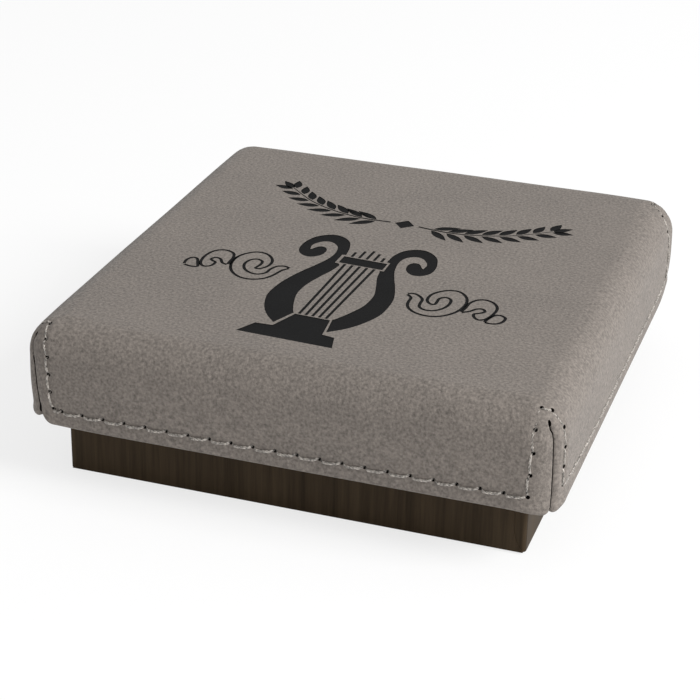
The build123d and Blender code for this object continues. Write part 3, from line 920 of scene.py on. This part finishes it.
# Tray wrap and bottom sheet
# Dark brown paper with a brushed face: faint upright streaks, a satin gloss, and a lapped
# edge beside each corner of the front and back.
wrap_brown, wrap_tree, wrap_shader = new_material("brushed_brown_paper")
wrap_shader.inputs["Specular IOR Level"].default_value = 0.07
streaks = noise_at(wrap_tree, 1100.0, 4.0, stretch=(1.0, 1.0, 0.035), roughness=0.7)
broad_streaks = noise_at(wrap_tree, 260.0, 3.0, stretch=(1.0, 1.0, 0.03), roughness=0.6)
streak_mix = math_node(wrap_tree, "ADD", math_node(wrap_tree, "MULTIPLY", streaks, 0.65),
                       math_node(wrap_tree, "MULTIPLY", broad_streaks, 0.35))
streak_colours = wrap_tree.nodes.new("ShaderNodeValToRGB")
for stop, position, colour in zip(streak_colours.color_ramp.elements, (0.34, 0.68),
                                  ((0.0245, 0.0165, 0.0092, 1), (0.061, 0.042, 0.0245, 1))):
    stop.position = position
    stop.color = colour
wrap_tree.links.new(streak_mix, streak_colours.inputs["Fac"])
wrap_tree.links.new(streak_colours.outputs["Color"], wrap_shader.inputs["Base Color"])
wrap_rough = math_node(wrap_tree, "ADD", math_node(wrap_tree, "MULTIPLY", streaks, 0.25), 0.36)
wrap_tree.links.new(wrap_rough, wrap_shader.inputs["Roughness"])
raise_relief(wrap_tree, streak_mix, 0.02 * mm)
dress(wrap_brown, "base_wrap")
dress(black_paper, "base_bottom_sheet")

# Tray boards and tape
# The same grey board and gummed tape as in the lid, all hidden by the wrap.
dress(grey_board, "base_floor_board", "base_front_board", "base_back_board", "base_left_board",
      "base_right_board")
dress(brown_tape, "base_corner_tape")

# Medal pad
# Foam under black velour, die-cut with a round recess and a thumb notch. The velour turns
# softly over every edge and down the walls.
black_velour = finish_material("black_velour", (0.012, 0.0115, 0.012), (220.0, 0.5, 4000.0, 0.8),
                               (2200.0, 9000.0, 0.8), 0.95, 0.12 * mm, specular=0.08, sheen=0.22)
pad_low, pad_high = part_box("insert_velour")
card_low, card_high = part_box("recess_card")
recess_radius = card_high[0] + 0.15 * mm
notch_radius = -card_low[1] - recess_radius + 0.15 * mm
PAD_CORNER = 1.5 * mm
PAD_COLUMNS = 480
PAD_ROLL = 1.3 * mm


def recess_reach(angle):
    """Distance from the recess's middle to its edge, which widens into the thumb notch at the front."""
    turn = abs((angle + math.pi / 2 + math.pi) % math.tau - math.pi)
    inner = notch_radius ** 2 - (recess_radius * math.sin(turn)) ** 2
    if inner < 0 or turn > 1:
        return recess_radius
    return max(recess_radius, recess_radius * math.cos(turn) + math.sqrt(inner))


def pad_reach(angle):
    """Distance from the middle to the pad's outer edge, with rounded corners."""
    way = (abs(math.cos(angle)), abs(math.sin(angle)))
    reach = min(pad_high[0] / max(way[0], 1e-9), pad_high[1] / max(way[1], 1e-9))
    corner = (pad_high[0] - PAD_CORNER, pad_high[1] - PAD_CORNER)
    if reach * way[0] > corner[0] and reach * way[1] > corner[1]:
        along = corner[0] * way[0] + corner[1] * way[1]
        off = corner[0] ** 2 + corner[1] ** 2 - along ** 2
        reach = along + math.sqrt(max(PAD_CORNER ** 2 - off, 0))
    return reach


pad_rings = []
bm = bmesh.new()
# The pad's section, up the outside, over the top and down the recess: the share of the way from
# the outside to the recess, how far it is drawn back from both, and its height
pad_steps = [(0, 0.0, pad_low[2]), (0, 0.0, pad_high[2] - PAD_ROLL)]
pad_steps += [(0, PAD_ROLL * (1 - math.cos(t)), pad_high[2] - PAD_ROLL * (1 - math.sin(t)))
              for t in np.linspace(0.25, math.pi / 2, 6)]
pad_steps += [(share, PAD_ROLL, pad_high[2]) for share in (0.35, 0.65)]
pad_steps += [(1, PAD_ROLL * (1 - math.sin(t)), pad_high[2] - PAD_ROLL * (1 - math.cos(t)))
              for t in np.linspace(0.0, math.pi / 2, 7)]
pad_steps += [(1, 0.0, card_high[2] - 0.4 * mm), (1, 0.0, pad_low[2])]
for share, inset, level in pad_steps:
    ring = []
    for angle in round_turns(PAD_COLUMNS):
        reach = (pad_reach(angle) - inset) * (1 - share) + (recess_reach(angle) + inset) * share
        ring.append(bm.verts.new((reach * math.cos(angle), reach * math.sin(angle), level)))
    pad_rings.append(ring)
pad_rings.append(pad_rings[0])
join_rings(bm, pad_rings)
pad_mesh = smooth_mesh(bm, "velour_pad")
pad_mesh.set_sharp_from_angle(angle=math.radians(50))
pad_mesh.materials.append(black_velour)
velour_pad = placed("velour_pad", pad_mesh)
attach(velour_pad, "base")
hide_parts("insert_velour", "insert_foam")
dress(black_velour, "recess_card")

# Foam riser
# A block of black foam that fills the tray under the pad.
black_foam = finish_material("black_foam", (0.035, 0.035, 0.036), (300.0, 0.3, 2500.0, 0.8),
                             (1500.0, 3500.0, 0.8), 0.95, 0.2 * mm, specular=0.1)
dress(black_foam, "insert_riser")

# Floor and light
# A plain white table, a soft key from the right and an even white surround.
floor_mesh = bpy.data.meshes.new("table_top")
TABLE_REACH = 2.5
table_corners = [(x * TABLE_REACH, y * TABLE_REACH, 0) for x, y in ((-1, -1), (1, -1), (1, 1), (-1, 1))]
floor_mesh.from_pydata(table_corners, [], [(0, 1, 2, 3)])
floor = placed("table_top", floor_mesh)
floor_white, floor_tree, floor_shader = new_material("table_white")
floor_shader.inputs["Base Color"].default_value = (0.93, 0.93, 0.93, 1)
floor_shader.inputs["Roughness"].default_value = 0.9
seen = floor_tree.nodes.new("ShaderNodeLightPath")
paper_white = floor_tree.nodes.new("ShaderNodeEmission")
blend = floor_tree.nodes.new("ShaderNodeMixShader")
seen_share = math_node(floor_tree, "MULTIPLY", seen.outputs["Is Camera Ray"], 0.75)
floor_tree.links.new(seen_share, blend.inputs["Fac"])
floor_tree.links.new(floor_shader.outputs["BSDF"], blend.inputs[1])
floor_tree.links.new(paper_white.outputs["Emission"], blend.inputs[2])
floor_tree.links.new(blend.outputs["Shader"], floor_tree.nodes["Material Output"].inputs["Surface"])
floor_mesh.materials.append(floor_white)


def soft_light(name, direction, distance, size, power):
    """A square area light that faces the box from a direction."""
    lamp = bpy.data.lights.new(name, "AREA")
    lamp.size = size
    lamp.energy = power
    holder = placed(name, lamp)
    way = Vector(direction).normalized()
    facing_box = way.to_track_quat("Z", "Y").to_matrix().to_4x4()
    holder.matrix_world = Matrix.Translation(way * distance) @ facing_box


soft_light("key", (0.86, -0.10, 0.66), 1.1, 0.5, 12.5)
world = bpy.data.worlds.new("surround")
world.use_nodes = True
world_tree = world.node_tree
background = world_tree.nodes["Background"]
background.inputs["Color"].default_value = (1, 1, 1, 1)
path = world_tree.nodes.new("ShaderNodeLightPath")
plain = math_node(world_tree, "MAXIMUM", path.outputs["Is Camera Ray"], path.outputs["Is Transmission Ray"])
world_tree.links.new(math_node(world_tree, "MAXIMUM", plain, 0.55), background.inputs["Strength"])
bpy.context.scene.world = world
bpy.context.scene.view_settings.view_transform = "Standard"
